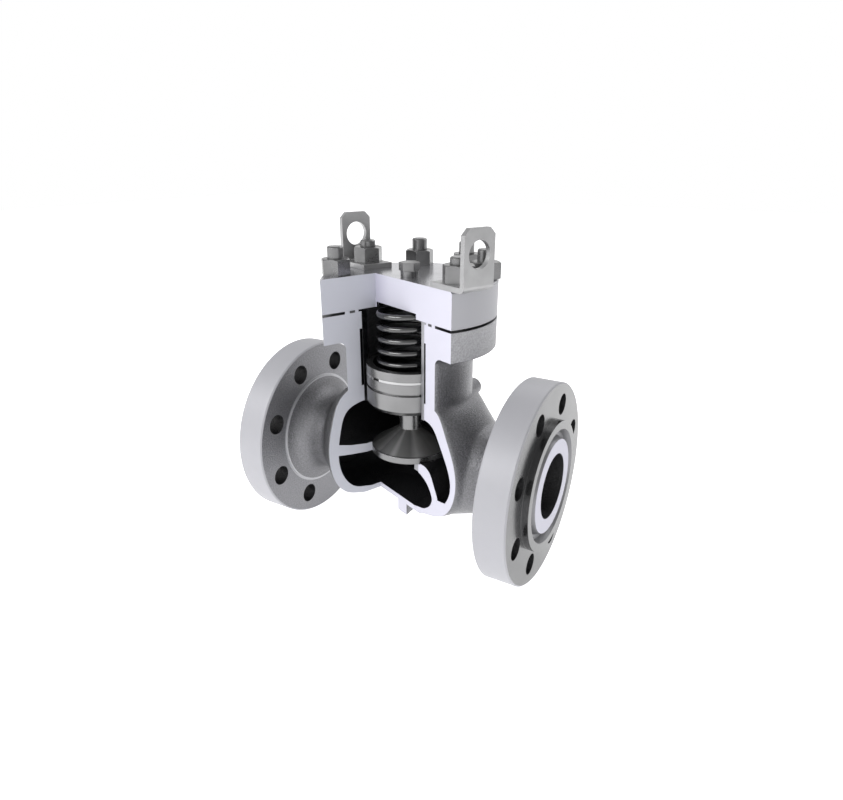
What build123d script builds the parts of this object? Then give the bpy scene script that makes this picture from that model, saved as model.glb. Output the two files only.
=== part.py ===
from build123d import *
import os

os.makedirs("parts", exist_ok=True)

# A sectioned 3 in class 900 spring-loaded piston lift check valve.
# Millimetres. X runs along the pipe from the inlet face (x = 0) to the outlet face,
# Z is up along the valve axis, and the pipe axis is y = z = 0.

# End flanges: ASME 3 in class 900, ring-type joint R31
face_to_face = 384.0
flange_r = 120.65
flange_thick = 38.1
raised_r = 77.75
raised_height = 7.92
bolt_circle_r = 95.25
bolt_hole_r = 12.7
bolt_count = 8
bolt_phase = 22.5
ring_pitch_r = 61.915
ring_top_width = 11.91
ring_floor_width = 5.2
ring_depth = 7.92
bore_r = 39.0
hub_r = 51.0
hub_back_r = 74.7
hub_fillet = 14.0
back_step = 1.5
flare_start_x = 45.0
flare_start_r = 60.0
flare_x = 66.0
flare_r = 68.0
rim_chamfer = 1.5

# Globe: ovals longer along the pipe, as (height, shift along X, half length, half width)
globe_ovals = [
    (-66.0, -5.0, 58.0, 50.0),
    (-58.0, -7.0, 80.0, 72.0),
    (-37.0, 1.5, 111.0, 89.5),
    (0.0, 4.0, 124.0, 95.5),
    (30.0, 3.0, 119.0, 92.5),
    (55.0, 0.0, 105.5, 87.5),
    (72.0, 0.0, 92.0, 86.0),
    (84.0, 0.0, 77.5, 77.5),
]
core_ovals = [
    (-59.0, -4.0, 53.0, 39.0),
    (-50.0, -2.0, 84.0, 62.0),
    (-32.0, 4.0, 104.0, 77.0),
    (0.0, 8.0, 114.0, 84.0),
    (27.0, 3.5, 109.5, 77.0),
    (50.0, -1.0, 94.5, 71.5),
    (60.0, 0.0, 80.0, 70.0),
    (66.0, 0.0, 60.0, 58.0),
]

# Bridge wall between the lower (inlet) and upper (outlet) chambers
bridge_top = 5.0
bridge_bottom = -7.0
bridge_wall_x = 57.8
bridge_wall_low = -33.0
bridge_corner_x = 20.0
bridge_corner_low = -59.5
bridge_floor = -90.0
bridge_outlet_x = 130.0
bridge_inlet_upper = [
    (-54.0, 5.0),
    (-63.0, 9.0),
    (-71.0, 15.0),
    (-100.0, 50.0),
    (-130.0, 86.0),
    (-130.0, 72.0),
]
bridge_inlet_lower = [
    (-130.0, 72.0),
    (-100.0, 37.0),
    (-72.0, 0.0),
    (-63.0, -4.0),
    (-54.0, -7.0),
    (24.0, -7.0),
]
bridge_bend_outlet = (82.0, -39.6)
bridge_slope_low = (66.5, -26.0)
bridge_slope_high = (56.5, -5.0)
bridge_lip = (43.0, 5.0)
chamber_floor_x = 60.0
chamber_floor_half_width = 79.3
chamber_floor_depth = 39.6
passage_depth = 98.0

# Neck and body flange
neck_r = 77.5
neck_low = 70.0
neck_fillet = 9.0
body_flange_under = 147.0
body_flange_top = 180.8
collar_floor = 181.5
joint_face = 184.0
cover_r = 104.0
joint_ridge_r = 77.0
liner_bore_r = 58.9
liner_relief_r = 61.4
relief_low = 87.0
relief_high = 160.0
collar_seat_r = 62.0

# Bonnet
bonnet_top = 225.0
bonnet_chamfer = 2.0
spring_pocket_r = 44.8
spring_pocket_top = 190.5
stud_circle_r = 88.0
stud_r = 9.5
stud_hole_r = 10.5
tapped_hole_r = 9.6
tapped_hole_floor = 152.0
stud_low = 154.0
stud_top = 258.0
stud_chamfer = 1.2
stud_angles = [22.5, 67.5, 112.5, 157.5, 202.5, 337.5]
nut_turns = [15.0, 60.0, 105.0, 172.0, 195.0, 7.5]
nut_across_flats = 31.75
nut_height = 19.0
nut_corner_r = 18.4
nut_chamfer = 1.4
nut_face_step = 2.5
nut_bore_r = 9.6

# Joint gasket
gasket_inner_r = 65.8
gasket_outer_r = 71.2
gasket_groove_inner_r = 65.5
gasket_groove_outer_r = 71.5
gasket_floor = 181.0

# Seat ring
seat_bore_r = 41.0
seat_outer_r = 48.0
seat_pocket_r = 48.1
seat_top = 3.8
seat_clearance_r = 51.8

# Liner
liner_r = 54.0
liner_outer_r = 58.8
liner_low = 65.0
collar_r = 61.7

# Piston and disc
piston_r = 53.92
nose_r = 37.0
nose_base_r = 39.0
disc_r = 49.5
disc_rim_top = 11.5
cone_base_r = 47.5
cone_low = 12.3
cone_top = 34.0
stem_r = 14.0
stem_top = 63.0
skirt_r = 48.0
piston_low = 67.5
skirt_top = 73.5
piston_top = 121.5
cup_r = 45.5
cup_floor = 84.0
oil_groove_low = 93.2
oil_groove_high = 96.6
oil_groove_r = 50.8
ring_groove_low = 108.0
ring_groove_high = 111.2
ring_groove_r = 50.2
ring_inner_r = 50.5
ring_outer_r = 53.9
ring_gap = 11.0
ring_play = 0.1
ring_gap_angle = 252.0

# Return spring
wire_r = 3.5
coil_r = 37.8
coil_pitch = 14.4
coil_low = 86.0
coil_high = 189.0
coil_start = -190.0

# Lifting lugs: bent plates under two opposite bonnet nuts
lug_thick = 6.0
lug_half_width = 20.7
lug_inner_reach = 66.0
lug_outer_reach = 120.0
lug_top = 290.0
lug_corner = 7.0
lug_eye_r = 14.5
lug_eye_height = 263.5
lug_bend_r = 7.0
lug_angles = [157.5, 337.5]

# Vent plug in the bonnet centre
plug_shank_r = 8.0
plug_hole_r = 8.1
plug_collar_r = 10.4
plug_collar_top = 231.8
plug_hex_across_flats = 21.4
plug_hex_top = 241.5
plug_hex_turn = 25.0

# Cast foot rib and side boss
foot_half_width = 8.75
foot_bottom = -82.0
foot_front = -40.0
foot_back = 40.0
boss_r = 11.0
boss_x = 56.3
boss_z = 78.0
boss_end = 66.0

# Removed wedge that opens the valve to view
cut_apex = (-46.3, -3.1)
cut_angle = -22.5
cut_side = 201.0
cut_low = -120.0
cut_high = 260.0

valve_x = face_to_face / 2
valve_axis = Axis((valve_x, 0, 0), (0, 0, 1))
mid_plane = Plane(origin=(valve_x, 0, 0), x_dir=(1, 0, 0), z_dir=(0, -1, 0))
cross_plane = Plane.YZ.offset(valve_x)


def level(height):
    """Horizontal plane at a height, centred on the valve axis."""
    return Plane(origin=(valve_x, 0, height))


def save(piece, name):
    """Label a finished piece and write its STEP file."""
    piece.part.label = name
    export_step(piece.part, "parts/" + name + ".step")


# Wedge removed from the housing pieces
with BuildPart() as wedge:
    with BuildSketch(level(cut_low)):
        with BuildLine():
            right_side = PolarLine(cut_apex, cut_side, cut_angle)
            left_side = PolarLine(cut_apex, cut_side, cut_angle - 90)
            Line(right_side @ 1, left_side @ 1)
        make_face()
    extrude(amount=cut_high - cut_low)

# Flow passages: the hollow that the casting core leaves
with BuildPart() as passages:
    for height, shift, half_length, half_width in core_ovals:
        with BuildSketch(level(height)):
            with Locations((shift, 0)):
                Ellipse(half_length, half_width)
    loft()
    with BuildSketch(mid_plane):
        with BuildLine():
            Polyline(*bridge_inlet_upper)
            Polyline(*bridge_inlet_lower)
            TangentArc(bridge_inlet_lower[-1], (bridge_wall_x, bridge_wall_low), tangent=(1, 0))
            EllipticalCenterArc(
                center=(bridge_corner_x, bridge_wall_low),
                x_radius=bridge_wall_x - bridge_corner_x,
                y_radius=bridge_wall_low - bridge_corner_low,
                start_angle=270,
                arc_size=90,
            )
            Polyline((bridge_corner_x, bridge_corner_low), (bridge_corner_x, bridge_floor))
            Polyline((bridge_corner_x, bridge_floor), (bridge_outlet_x, bridge_floor))
            Polyline(
                (bridge_outlet_x, bridge_floor),
                (bridge_outlet_x, bridge_bend_outlet[1]),
                bridge_bend_outlet,
            )
            TangentArc(bridge_bend_outlet, bridge_slope_low, tangent=(-1, 0))
            slope = Line(bridge_slope_low, bridge_slope_high)
            TangentArc(bridge_slope_high, bridge_lip, tangent=slope % 1)
            Line(bridge_lip, bridge_inlet_upper[0])
        make_face()
    extrude(amount=flange_r, both=True, mode=Mode.SUBTRACT)
    with BuildSketch(Plane.YZ.offset(valve_x + chamber_floor_x)):
        with Locations((0, bridge_floor / 2)):
            Rectangle(2 * flange_r, -bridge_floor)
        Ellipse(chamber_floor_half_width, chamber_floor_depth, mode=Mode.SUBTRACT)
    extrude(amount=bridge_outlet_x - chamber_floor_x, mode=Mode.SUBTRACT)
    with BuildSketch(Plane.YZ):
        Circle(bore_r)
    extrude(amount=passage_depth)
    with BuildSketch(Plane.YZ.offset(face_to_face)):
        Circle(bore_r)
    extrude(amount=-passage_depth)

# Valve body casting
with BuildPart() as valve_body:
    back_x = face_to_face - raised_height - flange_thick
    front_x = face_to_face - raised_height
    step_x = back_x - back_step
    fillet_x = step_x - (hub_back_r - hub_r)
    with BuildSketch(Plane.XZ):
        with BuildLine():
            Polyline((valve_x, 0), (valve_x, hub_r), (fillet_x, hub_r))
            TangentArc((fillet_x, hub_r), (step_x, hub_back_r), tangent=(1, 0))
            Polyline((step_x, hub_back_r), (back_x, hub_back_r), (back_x, flange_r), (front_x, flange_r))
            Polyline((front_x, flange_r), (front_x, raised_r), (face_to_face, raised_r))
            Polyline((face_to_face, raised_r), (face_to_face, 0), (valve_x, 0))
        make_face()
    revolve(axis=Axis.X)
    with BuildSketch(Plane.XZ):
        groove_inner = ring_pitch_r - ring_top_width / 2
        groove_outer = ring_pitch_r + ring_top_width / 2
        floor_inner = ring_pitch_r - ring_floor_width / 2
        floor_outer = ring_pitch_r + ring_floor_width / 2
        floor_x = face_to_face - ring_depth
        with BuildLine():
            Polyline((face_to_face, groove_inner), (floor_x, floor_inner), (floor_x, floor_outer))
            Polyline((floor_x, floor_outer), (face_to_face, groove_outer), (face_to_face, groove_inner))
        make_face()
    revolve(axis=Axis.X, mode=Mode.SUBTRACT)
    round_edges = valve_body.edges().filter_by(GeomType.CIRCLE)
    chamfer(round_edges.filter_by(lambda e: abs(e.radius - flange_r) < 0.01), rim_chamfer)
    with BuildSketch(Plane.YZ.offset(back_x)):
        with PolarLocations(bolt_circle_r, bolt_count, start_angle=bolt_phase):
            Circle(bolt_hole_r)
    extrude(amount=flange_thick, mode=Mode.SUBTRACT)
    mirror(about=cross_plane)
    with BuildSketch(Plane.XZ):
        with BuildLine():
            Polyline(
                (valve_x + flare_start_x, 0),
                (valve_x + flare_start_x, flare_start_r),
                (valve_x + flare_x, flare_r),
                (fillet_x, hub_r),
                (fillet_x, 0),
                (valve_x + flare_start_x, 0),
            )
        make_face()
    revolve(axis=Axis.X)
    for height, shift, half_length, half_width in globe_ovals:
        with BuildSketch(level(height)):
            with Locations((shift, 0)):
                Ellipse(half_length, half_width)
    loft()
    hub_corners = valve_body.edges().filter_by(GeomType.BSPLINE)
    fillet(hub_corners.filter_by(lambda e: abs(e.bounding_box().max.Z - hub_r) < 0.5), hub_fillet)
    with BuildSketch(mid_plane):
        with BuildLine():
            Polyline((0, neck_low), (neck_r, neck_low), (neck_r, body_flange_under - neck_fillet))
            TangentArc(
                (neck_r, body_flange_under - neck_fillet),
                (neck_r + neck_fillet, body_flange_under),
                tangent=(0, 1),
            )
            Polyline((neck_r + neck_fillet, body_flange_under), (cover_r, body_flange_under))
            Polyline((cover_r, body_flange_under), (cover_r, body_flange_top))
            Polyline((cover_r, body_flange_top), (joint_ridge_r, body_flange_top))
            Polyline((joint_ridge_r, body_flange_top), (joint_ridge_r, joint_face), (0, joint_face))
            Line((0, joint_face), (0, neck_low))
        make_face()
    revolve(axis=valve_axis)
    with BuildSketch(level(foot_bottom)):
        with Locations((0, (foot_front + foot_back) / 2)):
            Rectangle(2 * foot_half_width, foot_back - foot_front)
    extrude(amount=-foot_bottom - 60)
    with BuildSketch(Plane.XZ.offset(-boss_end)):
        with Locations((valve_x + boss_x, boss_z)):
            Circle(boss_r)
    extrude(amount=boss_end - 20)
    add(passages.part, mode=Mode.SUBTRACT)
    with BuildSketch(level(60)):
        Circle(liner_bore_r)
    extrude(amount=joint_face - 60, mode=Mode.SUBTRACT)
    with BuildSketch(level(relief_low)):
        Circle(liner_relief_r)
    extrude(amount=relief_high - relief_low, mode=Mode.SUBTRACT)
    with BuildSketch(level(collar_floor)):
        Circle(collar_seat_r)
    extrude(amount=joint_face - collar_floor, mode=Mode.SUBTRACT)
    with BuildSketch(level(gasket_floor)):
        Circle(gasket_groove_outer_r)
        Circle(gasket_groove_inner_r, mode=Mode.SUBTRACT)
    extrude(amount=joint_face - gasket_floor, mode=Mode.SUBTRACT)
    with BuildSketch(level(bridge_bottom - 4)):
        Circle(seat_pocket_r)
    extrude(amount=seat_top - bridge_bottom + 4, mode=Mode.SUBTRACT)
    with BuildSketch(level(seat_top)):
        Circle(seat_clearance_r)
    extrude(amount=bridge_top - seat_top + 3, mode=Mode.SUBTRACT)
    with BuildSketch(level(tapped_hole_floor)):
        with PolarLocations(stud_circle_r, bolt_count, start_angle=bolt_phase):
            Circle(tapped_hole_r)
    extrude(amount=joint_face - tapped_hole_floor, mode=Mode.SUBTRACT)
    add(wedge.part, mode=Mode.SUBTRACT)
save(valve_body, "valve_body")

# Seat ring pressed into the bridge
with BuildPart() as seat_ring:
    with BuildSketch(level(bridge_bottom)):
        Circle(seat_outer_r)
        Circle(seat_bore_r, mode=Mode.SUBTRACT)
    extrude(amount=seat_top - bridge_bottom)
    add(wedge.part, mode=Mode.SUBTRACT)
save(seat_ring, "seat_ring")

# Guide liner with a collar under the bonnet
with BuildPart() as guide_liner:
    with BuildSketch(level(liner_low)):
        Circle(liner_outer_r)
    extrude(amount=joint_face - liner_low)
    with BuildSketch(level(collar_floor)):
        Circle(collar_r)
    extrude(amount=joint_face - collar_floor)
    with BuildSketch(level(liner_low)):
        Circle(liner_r)
    extrude(amount=joint_face - liner_low, mode=Mode.SUBTRACT)
    add(wedge.part, mode=Mode.SUBTRACT)
save(guide_liner, "guide_liner")

# Joint gasket
with BuildPart() as bonnet_gasket:
    with BuildSketch(level(gasket_floor)):
        Circle(gasket_outer_r)
        Circle(gasket_inner_r, mode=Mode.SUBTRACT)
    extrude(amount=joint_face - gasket_floor)
    add(wedge.part, mode=Mode.SUBTRACT)
save(bonnet_gasket, "bonnet_gasket")

# Bonnet
with BuildPart() as bonnet:
    with BuildSketch(level(joint_face)):
        Circle(cover_r)
    extrude(amount=bonnet_top - joint_face)
    chamfer(bonnet.faces().sort_by(Axis.Z)[-1].edges(), bonnet_chamfer)
    with BuildSketch(level(joint_face)):
        Circle(spring_pocket_r)
    extrude(amount=spring_pocket_top - joint_face, mode=Mode.SUBTRACT)
    with BuildSketch(level(joint_face)):
        with PolarLocations(stud_circle_r, bolt_count, start_angle=bolt_phase):
            Circle(stud_hole_r)
        Circle(plug_hole_r)
    extrude(amount=bonnet_top - joint_face, mode=Mode.SUBTRACT)
    add(wedge.part, mode=Mode.SUBTRACT)
save(bonnet, "bonnet")

# Piston with its integral disc
with BuildPart() as piston_disc:
    with BuildSketch(mid_plane):
        with BuildLine():
            Polyline((0, 0), (nose_r, 0), (nose_base_r, seat_top), (disc_r, seat_top))
            Polyline((disc_r, seat_top), (disc_r, disc_rim_top), (cone_base_r, cone_low))
            Polyline((cone_base_r, cone_low), (stem_r, cone_top), (stem_r, stem_top))
            Polyline((stem_r, stem_top), (skirt_r, piston_low), (piston_r, skirt_top))
            Polyline((piston_r, skirt_top), (piston_r, oil_groove_low))
            Polyline((piston_r, oil_groove_low), (oil_groove_r, oil_groove_low))
            Polyline((oil_groove_r, oil_groove_low), (oil_groove_r, oil_groove_high))
            Polyline((oil_groove_r, oil_groove_high), (piston_r, oil_groove_high))
            Polyline((piston_r, oil_groove_high), (piston_r, ring_groove_low))
            Polyline((piston_r, ring_groove_low), (ring_groove_r, ring_groove_low))
            Polyline((ring_groove_r, ring_groove_low), (ring_groove_r, ring_groove_high))
            Polyline((ring_groove_r, ring_groove_high), (piston_r, ring_groove_high))
            Polyline((piston_r, ring_groove_high), (piston_r, piston_top), (cup_r, piston_top))
            Polyline((cup_r, piston_top), (cup_r, cup_floor), (0, cup_floor), (0, 0))
        make_face()
    revolve(axis=valve_axis)
save(piston_disc, "piston_disc")

# Split piston ring
with BuildPart() as piston_ring:
    with BuildSketch(level(ring_groove_low + ring_play)):
        Circle(ring_outer_r)
        Circle(ring_inner_r, mode=Mode.SUBTRACT)
        with PolarLocations(ring_outer_r, 1, start_angle=ring_gap_angle):
            Rectangle(ring_outer_r, ring_gap, mode=Mode.SUBTRACT)
    extrude(amount=ring_groove_high - ring_groove_low - 2 * ring_play)
save(piston_ring, "piston_ring")

# Return spring with ground ends
with BuildPart() as return_spring:
    with BuildLine(level(coil_low).rotated((0, 0, coil_start))):
        coil = Helix(coil_pitch, coil_high - coil_low, coil_r)
    with BuildSketch(Plane(origin=coil @ 0, z_dir=coil % 0)):
        Circle(wire_r)
    sweep(is_frenet=True)
    with BuildSketch(level(cup_floor)):
        Circle(spring_pocket_r)
    extrude(amount=-2 * wire_r, mode=Mode.SUBTRACT)
    with BuildSketch(level(spring_pocket_top)):
        Circle(spring_pocket_r)
    extrude(amount=2 * wire_r, mode=Mode.SUBTRACT)
save(return_spring, "return_spring")

# Bonnet studs and heavy hexagon nuts
for index, (angle, turn) in enumerate(zip(stud_angles, nut_turns)):
    under_lug = angle in lug_angles
    nut_seat = bonnet_top + (lug_thick if under_lug else 0)
    with BuildPart() as stud:
        with BuildSketch(level(stud_low)):
            with PolarLocations(stud_circle_r, 1, start_angle=angle):
                Circle(stud_r)
        extrude(amount=stud_top - stud_low)
        chamfer(stud.edges().filter_by(GeomType.CIRCLE), stud_chamfer)
    save(stud, "bonnet_stud_" + str(index + 1))
    nut_centre = Vector(valve_x, 0, nut_seat) + Vector(stud_circle_r, 0, 0).rotate(Axis.Z, angle)
    with BuildPart() as nut:
        with BuildSketch(Plane(origin=nut_centre)):
            RegularPolygon(nut_across_flats / 2, 6, major_radius=False, rotation=turn)
        extrude(amount=nut_height)
        with BuildSketch(Plane(origin=nut_centre, x_dir=(1, 0, 0), z_dir=(0, -1, 0))):
            Polygon(
                (0, 0),
                (nut_corner_r, 0),
                (nut_corner_r, nut_height - nut_chamfer),
                (nut_corner_r - nut_face_step, nut_height),
                (0, nut_height),
                align=None,
            )
        revolve(axis=Axis(nut_centre, (0, 0, 1)), mode=Mode.INTERSECT)
        with BuildSketch(Plane(origin=nut_centre)):
            Circle(nut_bore_r)
        extrude(amount=nut_height, mode=Mode.SUBTRACT)
    save(nut, "bonnet_nut_" + str(index + 1))

# Lifting lugs
for angle, name in zip(lug_angles, ["inlet_lifting_lug", "outlet_lifting_lug"]):
    with BuildPart() as lug:
        with BuildSketch(mid_plane.rotated((0, 0, angle))):
            inner_face = lug_outer_reach - lug_thick
            foot_top = bonnet_top + lug_thick
            with BuildLine():
                Line((inner_face - lug_bend_r, foot_top), (lug_inner_reach, foot_top))
                Line((lug_inner_reach, foot_top), (lug_inner_reach, bonnet_top))
                Line((lug_inner_reach, bonnet_top), (lug_outer_reach - lug_bend_r, bonnet_top))
                outer_bend = (lug_outer_reach, bonnet_top + lug_bend_r)
                TangentArc((lug_outer_reach - lug_bend_r, bonnet_top), outer_bend, tangent=(1, 0))
                Polyline(outer_bend, (lug_outer_reach, lug_top), (inner_face, lug_top))
                inner_bend = (inner_face, foot_top + lug_bend_r - lug_thick)
                Line((inner_face, lug_top), inner_bend)
                TangentArc(inner_bend, (inner_face - lug_bend_r + lug_thick, foot_top), tangent=(0, -1))
                Line((inner_face - lug_bend_r + lug_thick, foot_top), (inner_face - lug_bend_r, foot_top))
            make_face()
        extrude(amount=lug_half_width, both=True)
        top_edges = lug.faces().sort_by(Axis.Z)[-1].edges()
        chamfer(top_edges.filter_by(lambda e: abs(e.length - lug_thick) < 0.01), lug_corner)
        with BuildSketch(level(bonnet_top)):
            with PolarLocations(stud_circle_r, 1, start_angle=angle):
                Circle(stud_hole_r)
        extrude(amount=lug_thick, mode=Mode.SUBTRACT)
        outward = Vector(1, 0, 0).rotate(Axis.Z, angle)
        with BuildSketch(Plane(origin=(valve_x, 0, lug_eye_height), z_dir=outward)):
            Circle(lug_eye_r)
        extrude(amount=lug_outer_reach, mode=Mode.SUBTRACT)
    save(lug, name)

# Vent plug
with BuildPart() as vent_plug:
    with BuildSketch(level(spring_pocket_top + 4)):
        Circle(plug_shank_r)
    extrude(amount=bonnet_top - spring_pocket_top - 4)
    with BuildSketch(level(bonnet_top)):
        Circle(plug_collar_r)
    extrude(amount=plug_collar_top - bonnet_top)
    with BuildSketch(level(plug_collar_top)):
        RegularPolygon(plug_hex_across_flats / 2, 6, major_radius=False, rotation=plug_hex_turn)
    extrude(amount=plug_hex_top - plug_collar_top)
save(vent_plug, "vent_plug")
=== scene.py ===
import bpy
from mathutils import Matrix, Vector


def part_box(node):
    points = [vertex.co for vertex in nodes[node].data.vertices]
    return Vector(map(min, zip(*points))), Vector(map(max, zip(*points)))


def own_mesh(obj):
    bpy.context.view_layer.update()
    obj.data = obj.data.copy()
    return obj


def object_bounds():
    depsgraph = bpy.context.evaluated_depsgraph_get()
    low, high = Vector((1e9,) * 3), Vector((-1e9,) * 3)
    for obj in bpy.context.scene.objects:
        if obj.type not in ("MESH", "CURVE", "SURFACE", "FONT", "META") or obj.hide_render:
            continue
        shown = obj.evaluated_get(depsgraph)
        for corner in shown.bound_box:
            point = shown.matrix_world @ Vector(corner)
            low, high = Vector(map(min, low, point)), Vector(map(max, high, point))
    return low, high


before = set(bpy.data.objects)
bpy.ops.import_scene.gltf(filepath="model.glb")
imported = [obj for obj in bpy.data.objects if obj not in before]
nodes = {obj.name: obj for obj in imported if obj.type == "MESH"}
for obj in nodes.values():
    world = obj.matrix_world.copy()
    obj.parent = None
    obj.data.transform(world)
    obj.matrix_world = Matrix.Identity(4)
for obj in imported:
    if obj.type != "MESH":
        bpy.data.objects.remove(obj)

cad_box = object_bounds()

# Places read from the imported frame, in metres
body_low, body_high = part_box("valve_body")
valve_x = (body_low.x + body_high.x) / 2
flange_r = body_high.y
outlet_x = body_high.x
bonnet_low, bonnet_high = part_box("bonnet")

# Directions of the sawn wedge: along the right face, and square to it
ALONG = (0.92388, -0.38268, 0.0)
ACROSS = (0.38268, 0.92388, 0.0)
CUT_ALONG = -0.0416
CUT_ACROSS = -0.02058

# Zones of the valve body: distances from a flange's face, radii and heights
FLANGE_DEPTH = 0.0470
FRONT_DEPTH = 0.0090
GROOVE_DEPTH = 0.0081
GROOVE_LIP = 0.0004
LAND_DEPTH = 0.0003
RIM_BAND = 0.0018
LAND_R = 0.0562
GROOVE_R = (0.0560, 0.0680)
STEP_R = (0.0770, 0.0785)
BOLT_HOLES_R = (0.0822, 0.1083)
PIPE_BORE_R = 0.0395
PIPE_BORE_START = 0.07
# Painted highlight: a light ring on each hub where the flange's back steps up
HUB_HIGHLIGHT_X = (0.1433, 0.1462)
HUB_HIGHLIGHT_R = (0.0732, 0.0768)
CORE_SHIFT = (0.005, 0, 0.003)
CORE_HALF = (0.1165, 0.0855, 0.0665)
CORE_Z = (-0.0602, 0.0665)
CORE_REACH = 0.118
LINER_BORE_R = 0.0619
LINER_BORE_LOW = 0.0600
COVER_R = 0.1030
COVER_Z = (0.1475, 0.1830)
NECK_TOP = 0.1400

# Zones of the bonnet, the liner and the disc's cone
BONNET_SIDE_R = 0.1034
BONNET_POCKET_R = 0.102
BONNET_POCKET_DEPTH = 0.0070
BONNET_HOLES_R = 0.1025
LINER_OUTSIDE_R = 0.0585
CONE_Z = (0.0118, 0.0343)

# Rounding of edges: machined ones, and the casting's soft blends
FINE_EDGE = 0.0006
CAST_EDGE = 0.009

# Colours, linear
SAWN = (0.55, 0.545, 0.625, 1)
# Painted shade: a shaded copy of the cut paint for the left sawn face
SAWN_LEFT_SHADED = (0.52, 0.53, 0.585, 1)
CAST_DARK = (0.14, 0.14, 0.148, 1)
CAST_LIGHT = (0.25, 0.25, 0.262, 1)
RIM = (0.36, 0.36, 0.385, 1)
TURNED = (0.115, 0.115, 0.117, 1)
TURNED_LIGHT = (0.155, 0.155, 0.158, 1)
# Painted shade for the inside of the body: near-black and a slightly paler near-black
HOLLOW_SHADE = (0.008, 0.008, 0.009, 1)
HOLLOW_SHADE_PALE = (0.02, 0.02, 0.022, 1)
SAWN_WORN = (0.53, 0.525, 0.60, 1)
SAWN_SHADE = (0.40, 0.39, 0.50, 1)


def steel(shade, tint=1.0):
    """Neutral colour of one shade, with its blue multiplied by the tint."""
    return (shade, shade, shade * tint, 1)


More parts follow.
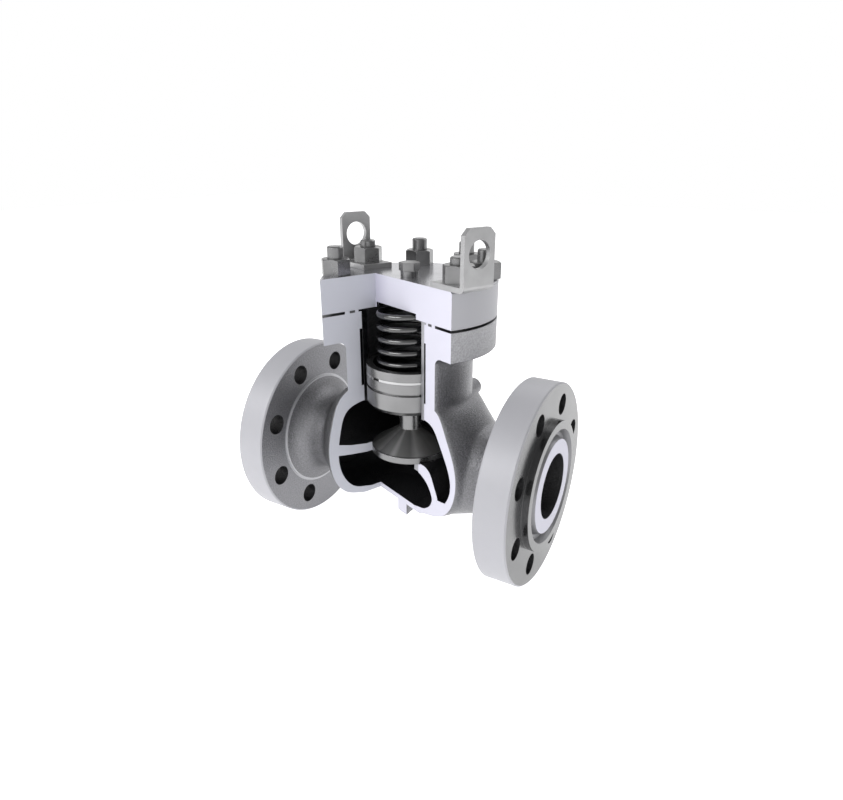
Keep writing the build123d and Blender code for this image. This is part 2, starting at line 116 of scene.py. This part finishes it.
class Paint:
    """One procedural material, built from small node helpers."""

    def __init__(self, name):
        self.material = bpy.data.materials.new(name)
        self.material.use_nodes = True
        self.tree = self.material.node_tree
        self.tree.nodes.clear()
        output = self.tree.nodes.new("ShaderNodeOutputMaterial")
        self.shader = self.tree.nodes.new("ShaderNodeBsdfPrincipled")
        self.tree.links.new(self.shader.outputs["BSDF"], output.inputs["Surface"])
        place = self.tree.nodes.new("ShaderNodeTexCoord")
        self.place = place.outputs["Object"]
        self.normal = place.outputs["Normal"]

    def put(self, socket, value):
        """Link a socket, or set a constant on it."""
        if isinstance(value, bpy.types.NodeSocket):
            self.tree.links.new(value, socket)
        else:
            socket.default_value = value

    def math(self, operation, a, b=0.0):
        node = self.tree.nodes.new("ShaderNodeMath")
        node.operation = operation
        self.put(node.inputs[0], a)
        self.put(node.inputs[1], b)
        return node.outputs[0]

    def vector(self, operation, a, b=None):
        """Vector math: the two outputs are the vector and the value."""
        node = self.tree.nodes.new("ShaderNodeVectorMath")
        node.operation = operation
        self.put(node.inputs[0], a)
        if b is not None:
            self.put(node.inputs[1], b)
        return node.outputs[0], node.outputs[1]

    def dot(self, vector, direction):
        return self.vector("DOT_PRODUCT", vector, direction)[1]

    def length(self, a, b):
        """Distance of a point with these two coordinates from their origin."""
        squares = self.math("ADD", self.math("MULTIPLY", a, a), self.math("MULTIPLY", b, b))
        return self.math("SQRT", squares)

    def between(self, value, low, high):
        above = self.math("GREATER_THAN", value, low)
        return self.math("MULTIPLY", above, self.math("LESS_THAN", value, high))

    def without(self, *masks):
        """Where none of the masks holds."""
        return self.math("SUBTRACT", 1.0, self.either(*masks))

    def both(self, *masks):
        result = masks[0]
        for mask in masks[1:]:
            result = self.math("MULTIPLY", result, mask)
        return result

    def either(self, *masks):
        result = masks[0]
        for mask in masks[1:]:
            result = self.math("MAXIMUM", result, mask)
        return result

    def mix(self, mask, a, b):
        node = self.tree.nodes.new("ShaderNodeMix")
        node.data_type = "RGBA"
        self.put(node.inputs[0], mask)
        self.put(node.inputs[6], a)
        self.put(node.inputs[7], b)
        return node.outputs[2]

    def level(self, mask, a, b):
        """a where the mask is 0 and b where it is 1."""
        node = self.tree.nodes.new("ShaderNodeMapRange")
        self.put(node.inputs[0], mask)
        node.inputs[3].default_value = a
        node.inputs[4].default_value = b
        return node.outputs[0]

    def fade(self, value, low, high, a, b):
        node = self.tree.nodes.new("ShaderNodeMapRange")
        self.put(node.inputs[0], value)
        node.inputs[1].default_value = low
        node.inputs[2].default_value = high
        node.inputs[3].default_value = a
        node.inputs[4].default_value = b
        return node.outputs[0]

    def noise(self, scale, detail=3.0, rough=0.55, vector=None):
        node = self.tree.nodes.new("ShaderNodeTexNoise")
        self.put(node.inputs["Vector"], self.place if vector is None else vector)
        node.inputs["Scale"].default_value = scale
        node.inputs["Detail"].default_value = detail
        node.inputs["Roughness"].default_value = rough
        return node.outputs[0]

    def stretched(self, scale):
        node = self.tree.nodes.new("ShaderNodeMapping")
        self.put(node.inputs["Vector"], self.place)
        node.inputs["Scale"].default_value = scale
        return node.outputs[0]

    def rounded(self, radius, samples):
        node = self.tree.nodes.new("ShaderNodeBevel")
        node.samples = samples
        node.inputs["Radius"].default_value = radius
        return node.outputs[0]

    def bump(self, height, strength, distance, soft=None):
        """Relief on rounded edges; soft masks the zone with wide blends."""
        node = self.tree.nodes.new("ShaderNodeBump")
        node.inputs["Distance"].default_value = distance
        self.put(node.inputs["Strength"], strength)
        self.put(node.inputs["Height"], height)
        normal = self.rounded(FINE_EDGE, 4)
        if soft is not None:
            blend = self.tree.nodes.new("ShaderNodeMix")
            blend.data_type = "VECTOR"
            self.put(blend.inputs[0], soft)
            self.put(blend.inputs[4], normal)
            self.put(blend.inputs[5], self.rounded(CAST_EDGE, 8))
            normal = blend.outputs[1]
        self.put(node.inputs["Normal"], normal)
        self.put(self.shader.inputs["Normal"], node.outputs[0])

    def surface(self, color, metallic, roughness):
        self.put(self.shader.inputs["Base Color"], color)
        self.put(self.shader.inputs["Metallic"], metallic)
        self.put(self.shader.inputs["Roughness"], roughness)

    def sawn_faces(self):
        """Masks of the two flat faces that the wedge's removal leaves."""
        shifted = self.vector("SUBTRACT", self.place, (valve_x, 0, 0))[0]
        along = self.dot(shifted, ALONG)
        across = self.dot(shifted, ACROSS)
        near = 0.00025
        facing_right = self.math("LESS_THAN", self.dot(self.normal, ACROSS), -0.9)
        facing_left = self.math("GREATER_THAN", self.dot(self.normal, ALONG), 0.9)
        right = self.both(self.between(across, CUT_ACROSS - near, CUT_ACROSS + near), facing_right)
        left = self.both(self.between(along, CUT_ALONG - near, CUT_ALONG + near), facing_left)
        return right, left, along

    def coordinates(self):
        split = self.tree.nodes.new("ShaderNodeSeparateXYZ")
        self.put(split.inputs[0], self.place)
        return split.outputs[0], split.outputs[1], split.outputs[2]


# Valve body: sand-cast exterior, machined flanges, painted saw cut with painted shade on its left
# face, painted shade in the cavity, and a painted highlight ring on each hub
body = Paint("cast_body")
x, y, z = body.coordinates()
half_length = outlet_x - valve_x
from_middle = body.math("ABSOLUTE", body.math("SUBTRACT", x, valve_x))
pipe_r = body.length(y, z)
axis_r = body.length(body.math("SUBTRACT", x, valve_x), y)
facing_x = body.math("ABSOLUTE", body.dot(body.normal, (1, 0, 0)))
right, left, _ = body.sawn_faces()


def near_face(depth):
    """Mask of the points within a depth of either flange's face."""
    return body.math("GREATER_THAN", from_middle, half_length - depth)


flange_zone = near_face(FLANGE_DEPTH)
front = near_face(FRONT_DEPTH)
rim = body.both(flange_zone, body.math("GREATER_THAN", pipe_r, flange_r - RIM_BAND))
flat = body.both(
    flange_zone,
    body.math("GREATER_THAN", facing_x, 0.9),
    body.between(pipe_r, LAND_R, flange_r - RIM_BAND),
)
back_face = body.both(flat, body.without(front))
step = body.both(front, body.between(pipe_r, *STEP_R))
flat = body.both(body.either(flat, step), front)
groove = body.both(
    near_face(GROOVE_DEPTH),
    body.between(pipe_r, *GROOVE_R),
    body.math("LESS_THAN", from_middle, half_length - GROOVE_LIP),
)
land = body.both(near_face(LAND_DEPTH), body.math("LESS_THAN", pipe_r, LAND_R))
bolt_wall = body.both(
    flange_zone,
    body.between(pipe_r, *BOLT_HOLES_R),
    body.math("LESS_THAN", facing_x, 0.5),
)
bore_wall = body.both(
    body.math("LESS_THAN", pipe_r, PIPE_BORE_R),
    body.math("GREATER_THAN", from_middle, PIPE_BORE_START),
)

# The cavity: faces turned towards the core's centre, and all inside its oval
core_centre = (valve_x + CORE_SHIFT[0], CORE_SHIFT[1], CORE_SHIFT[2])
from_core = body.vector("SUBTRACT", body.place, core_centre)[0]
inward = body.both(
    body.math("LESS_THAN", body.dot(body.normal, from_core), 0.0),
    body.between(z, *CORE_Z),
    body.math("LESS_THAN", from_middle, CORE_REACH),
)
squeezed = body.vector("MULTIPLY", from_core, tuple(1 / half for half in CORE_HALF))[0]
core = body.math("LESS_THAN", body.vector("LENGTH", squeezed)[1], 1.0)
liner_bore = body.both(
    body.math("LESS_THAN", axis_r, LINER_BORE_R),
    body.math("GREATER_THAN", z, LINER_BORE_LOW),
)
# Painted shade: the cavity, the liner's bore, the pipe bores and the bolt holes' walls are painted
# near-black
shaded_hollow = body.either(inward, core, liner_bore, bore_wall, bolt_wall)
cover_side = body.both(body.math("GREATER_THAN", axis_r, COVER_R), body.between(z, *COVER_Z))
# Painted highlight: a light ring round each hub, where the step's edge catches the light
hub_ring_highlight = body.both(body.between(from_middle, *HUB_HIGHLIGHT_X), body.between(pipe_r, *HUB_HIGHLIGHT_R))
machined = body.either(flat, groove)
smooth = body.either(machined, rim, cover_side)
painted = body.either(right, left, land)

# Colours, from the casting outwards to the paint on the cut
cast = body.noise(520, 4, 0.6)
grains = body.fade(cast, 0.35, 0.68, 0, 1)
cast_color = body.mix(grains, CAST_DARK, CAST_LIGHT)
patches = body.fade(body.noise(22, 3), 0.35, 0.7, 0, 0.35)
cast_color = body.mix(patches, cast_color, steel(0.24, 1.05))
turned = body.mix(body.fade(body.noise(30, 3), 0.35, 0.7, 0, 0.5), TURNED, TURNED_LIGHT)
rim_worn = body.fade(body.noise(90, 4), 0.3, 0.7, 0, 0.35)
rim_color = body.mix(rim_worn, RIM, steel(0.38, 1.066))
cover_grain = body.fade(cast, 0.4, 0.62, 0, 1)
cover_color = body.mix(cover_grain, steel(0.29, 1.045), steel(0.40, 1.05))
hollow_shade_color = body.mix(body.fade(cast, 0.4, 0.65, 0, 1), HOLLOW_SHADE, HOLLOW_SHADE_PALE)
sawn_color = body.mix(body.fade(body.noise(60, 3), 0.3, 0.7, 0, 0.5), SAWN, SAWN_WORN)
# Painted shade: the left sawn face takes a shaded, less blue copy of the cut paint
sawn_color = body.mix(left, sawn_color, SAWN_LEFT_SHADED)
back_color = body.mix(grains, steel(0.20, 1.06), steel(0.29, 1.052))
color = body.mix(back_face, cast_color, back_color)
for zone, zone_color in (
    (hub_ring_highlight, steel(0.46, 1.043)),
    (flat, turned),
    (rim, rim_color),
    (cover_side, cover_color),
    (groove, steel(0.24, 1.042)),
    (shaded_hollow, hollow_shade_color),
    (painted, sawn_color),
):
    color = body.mix(zone, color, zone_color)

# Gloss and relief
rough = body.mix(machined, steel(0.34), steel(0.20))
for zone, roughness in ((groove, 0.42), (rim, 0.48), (cover_side, 0.48), (painted, 0.55)):
    rough = body.mix(zone, rough, steel(roughness))
metal = body.both(machined, body.without(shaded_hollow, painted))
metal = body.either(metal, body.without(smooth, shaded_hollow, painted))
body.surface(color, body.level(metal, 0.1, 0.88), rough)
grain = body.math("ADD", cast, body.math("MULTIPLY", body.noise(1300, 2), 0.35))
graininess = body.mix(body.either(smooth, painted), steel(0.75), steel(0.05))
graininess = body.mix(cover_side, graininess, steel(0.5))
blended = body.both(
    body.without(smooth, shaded_hollow, painted, flange_zone),
    body.math("LESS_THAN", z, NECK_TOP),
)
body.bump(grain, graininess, 0.0011, blended)


def turned_steel(name, dark, light, roughness, rings, strength):
    """Turned steel with fine tool marks round the Z axis and uneven sheen."""
    paint = Paint(name)
    marks = paint.noise(1.0, 2, 0.5, paint.stretched((25, 25, rings)))
    sheen = paint.fade(paint.noise(34, 4), 0.32, 0.7, 0, 1)
    paint.surface(
        paint.mix(sheen, steel(dark, 1.01), steel(light, 1.01)),
        0.95,
        paint.fade(paint.noise(60, 4), 0.3, 0.7, roughness - 0.05, roughness + 0.08),
    )
    paint.bump(marks, strength, 0.0002)
    return paint


# Bonnet: machined top, light side, painted cut with painted shade on its left face and into its
# corner, and painted shade in the pocket and holes
bonnet = Paint("bonnet_steel")
x, y, z = bonnet.coordinates()
right, left, along = bonnet.sawn_faces()
sawn = bonnet.either(right, left)
axis_r = bonnet.length(bonnet.math("SUBTRACT", x, valve_x), y)
side = bonnet.math("GREATER_THAN", axis_r, BONNET_SIDE_R)
pocket = bonnet.both(
    bonnet.math("LESS_THAN", z, bonnet_low.z + BONNET_POCKET_DEPTH),
    bonnet.math("LESS_THAN", axis_r, BONNET_POCKET_R),
)
hole = bonnet.both(
    bonnet.between(z, bonnet_low.z, bonnet_high.z - 0.0003),
    bonnet.math("LESS_THAN", axis_r, BONNET_HOLES_R),
)
sheen = bonnet.fade(bonnet.noise(26, 4), 0.3, 0.7, 0, 1)
top_color = bonnet.mix(sheen, steel(0.44, 1.045), steel(0.54, 1.055))
side_worn = bonnet.fade(bonnet.noise(90, 4), 0.3, 0.7, 0, 0.4)
color = bonnet.mix(side, top_color, bonnet.mix(side_worn, RIM, steel(0.36, 1.055)))
# Painted shade: the pocket and the holes are painted near-black
color = bonnet.mix(bonnet.either(pocket, hole), color, steel(0.03, 1.066))
# Painted shade: the right sawn face darkens into the corner where it meets the left face, and the
# left face takes the shaded copy of the cut paint
shade = bonnet.fade(along, CUT_ALONG, CUT_ALONG + 0.03, 0.55, 0.0)
cut_color = bonnet.mix(bonnet.both(shade, right), SAWN, SAWN_SHADE)
color = bonnet.mix(sawn, color, bonnet.mix(left, cut_color, SAWN_LEFT_SHADED))
polished = bonnet.without(side, sawn)
rough = bonnet.mix(polished, steel(0.48), steel(0.22))
bonnet.surface(color, bonnet.level(polished, 0.15, 0.95), rough)
bonnet.bump(bonnet.noise(700, 3), 0.06, 0.0006)

# Liner and seat ring: turned steel with painted shade on the outer face; the left sawn edge is
# polished, with a painted dark reflection
liner = Paint("liner_steel")
right, left, _ = liner.sawn_faces()
x, y, z = liner.coordinates()
axis_r = liner.length(liner.math("SUBTRACT", x, valve_x), y)
shaded_outside = liner.math("GREATER_THAN", axis_r, LINER_OUTSIDE_R)
streak = liner.fade(liner.noise(1.0, 3, 0.5, liner.stretched((60, 60, 900))), 0.3, 0.7, 0, 1)
color = liner.mix(streak, steel(0.16, 1.062), steel(0.26, 1.038))
# Painted shade: the outer face, which looks into the dark relief gap, is painted near-black
for zone, shade, tint in ((shaded_outside, 0.012, 1.08), (right, 0.36, 1.055), (left, 0.030, 1.1)):
    color = liner.mix(zone, color, steel(shade, tint))
# Painted reflection: the polished left sawn face's near-black colour stands in for its dark
# reflection of the interior
liner.surface(color, 0.9, liner.level(left, 0.34, 0.10))
liner.bump(streak, 0.1, 0.0002)

# Piston: turned steel; its disc's cone is duller, with painted reflection streaks down the slope
PISTON_GLOSS = 0.27
piston = turned_steel("piston_steel", 0.20, 0.235, PISTON_GLOSS, 900, 0.04)
x, y, z = piston.coordinates()
outward = piston.tree.nodes.new("ShaderNodeCombineXYZ")
piston.put(outward.inputs[0], piston.math("SUBTRACT", x, valve_x))
piston.put(outward.inputs[1], y)
heading = piston.vector("NORMALIZE", outward.outputs[0])[0]
# Painted reflection: light and dark streaks radiating round the cone
streak_reflections = piston.fade(piston.noise(1.6, 1, 0.5, heading), 0.42, 0.6, 0, 1)
cone = piston.between(z, *CONE_Z)
plain = piston.shader.inputs["Base Color"].links[0].from_socket
streak_reflection_color = piston.mix(streak_reflections, steel(0.16), steel(0.46))
piston.put(piston.shader.inputs["Base Color"], piston.mix(cone, plain, streak_reflection_color))
piston.put(piston.shader.inputs["Roughness"], piston.level(cone, PISTON_GLOSS, 0.42))

ring = turned_steel("ring_steel", 0.40, 0.46, 0.22, 900, 0.04)
fastener = turned_steel("fastener_steel", 0.15, 0.22, 0.28, 500, 0.2)
plate = turned_steel("lug_plate", 0.36, 0.42, 0.42, 120, 0.15)

spring = Paint("spring_black")
chips = spring.fade(spring.noise(500, 4), 0.58, 0.72, 0, 1)
spring.surface(
    spring.mix(chips, steel(0.006, 1.166), steel(0.02, 1.05)),
    0.0,
    spring.fade(spring.noise(200, 3), 0.3, 0.7, 0.12, 0.18),
)
spring.shader.inputs["IOR"].default_value = 1.9
spring.bump(spring.noise(900, 3), 0.03, 0.0003)

gasket = Paint("gasket_graphite")
flecks = gasket.fade(gasket.noise(1200, 3), 0.35, 0.7, 0, 1)
gasket.surface(gasket.mix(flecks, steel(0.05, 1.04), steel(0.12, 1.025)), 0.3, 0.55)
gasket.bump(flecks, 0.3, 0.0002)

paints = {
    "valve_body": body,
    "bonnet": bonnet,
    "guide_liner": liner,
    "seat_ring": liner,
    "piston_disc": piston,
    "piston_ring": ring,
    "return_spring": spring,
    "bonnet_gasket": gasket,
    "inlet_lifting_lug": plate,
    "outlet_lifting_lug": plate,
}
for name, node in nodes.items():
    node.data.materials.clear()
    node.data.materials.append(paints.get(name, fastener).material)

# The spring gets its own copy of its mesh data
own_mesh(nodes["return_spring"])

# Floor: plain, pale and slightly self-lit
FLOOR_REACH = 6.0
FLOOR_GAP = 0.0005
floor_z = cad_box[0].z - FLOOR_GAP
corners = [
    (valve_x + x_way * FLOOR_REACH, y_way * FLOOR_REACH, floor_z)
    for x_way, y_way in ((-1, -1), (1, -1), (1, 1), (-1, 1))
]
floor_mesh = bpy.data.meshes.new("floor")
floor_mesh.from_pydata(corners, [], [(0, 1, 2, 3)])
floor = bpy.data.objects.new("floor", floor_mesh)
bpy.context.scene.collection.objects.link(floor)
floor_paint = Paint("floor_pale")
floor_color = floor_paint.mix(floor_paint.noise(3, 2), steel(0.86, 1.01), steel(0.90, 1.005))
floor_paint.surface(floor_color, 0.0, 0.9)
floor_paint.shader.inputs["Emission Color"].default_value = (1, 1, 1, 1)
floor_paint.shader.inputs["Emission Strength"].default_value = 0.80
floor_mesh.materials.append(floor_paint.material)

# World: even pale studio, dimmer overhead and on the outlet side
world = bpy.data.worlds.new("studio")
bpy.context.scene.world = world
world.use_nodes = True
sky = world.node_tree
direction = sky.nodes.new("ShaderNodeTexCoord")
heading = sky.nodes.new("ShaderNodeSeparateXYZ")
sky.links.new(direction.outputs["Generated"], heading.inputs[0])
studio = sky.nodes.new("ShaderNodeMath")
studio.operation = "MULTIPLY"
dimmed = ((heading.outputs["Z"], 0.30, 0.62, 0.62), (heading.outputs["X"], 0.30, 0.85, 0.40))
for place, (reach, start, end, darkest) in enumerate(dimmed):
    fade = sky.nodes.new("ShaderNodeMapRange")
    sky.links.new(reach, fade.inputs["Value"])
    fade.inputs["From Min"].default_value = start
    fade.inputs["From Max"].default_value = end
    fade.inputs["To Min"].default_value = 1.0
    fade.inputs["To Max"].default_value = darkest
    sky.links.new(fade.outputs["Result"], studio.inputs[place])
sky.links.new(studio.outputs[0], sky.nodes["Background"].inputs["Color"])
sky.nodes["Background"].inputs["Strength"].default_value = 1.0


def softbox(name, place, aim, size, power):
    """Rectangular area light, aimed at a point."""
    light = bpy.data.lights.new(name, "AREA")
    light.shape = "RECTANGLE"
    light.size = size[0]
    light.size_y = size[1]
    light.energy = power
    holder = bpy.data.objects.new(name, light)
    holder.location = place
    holder.rotation_mode = "QUATERNION"
    holder.rotation_quaternion = (Vector(aim) - Vector(place)).to_track_quat("-Z", "Y")
    bpy.context.scene.collection.objects.link(holder)


centre = (valve_x, 0, 0.05)
softbox("key_light", (-0.7, -1.6, 1.3), centre, (1.6, 0.7), 26)
softbox("fill_light", (1.9, -0.8, 0.9), centre, (0.8, 1.2), 3)
softbox("back_light", (0.3, 1.6, 1.5), centre, (1.6, 0.8), 10)

# Camera, looking down at the cut from in front of the outlet
CAMERA_PLACE = (0.57133, -0.62440, 0.35594)
CAMERA_BACK = (0.4679, -0.8048, 0.3654)
CAMERA_UP = (-0.1836, 0.3159, 0.9309)
back = Vector(CAMERA_BACK).normalized()
side_axis = Vector(CAMERA_UP).cross(back).normalized()
up = back.cross(side_axis)
turn = Matrix((side_axis, up, back)).transposed().to_4x4()
camera_data = bpy.data.cameras.new("camera")
camera_data.lens = 26.56
camera_data.sensor_width = 36
camera_data.sensor_fit = "HORIZONTAL"
camera_data.clip_start = 0.01
camera = bpy.data.objects.new("camera", camera_data)
camera.matrix_world = Matrix.Translation(CAMERA_PLACE) @ turn
bpy.context.scene.collection.objects.link(camera)
bpy.context.scene.camera = camera
bpy.context.scene.view_settings.view_transform = "Standard"
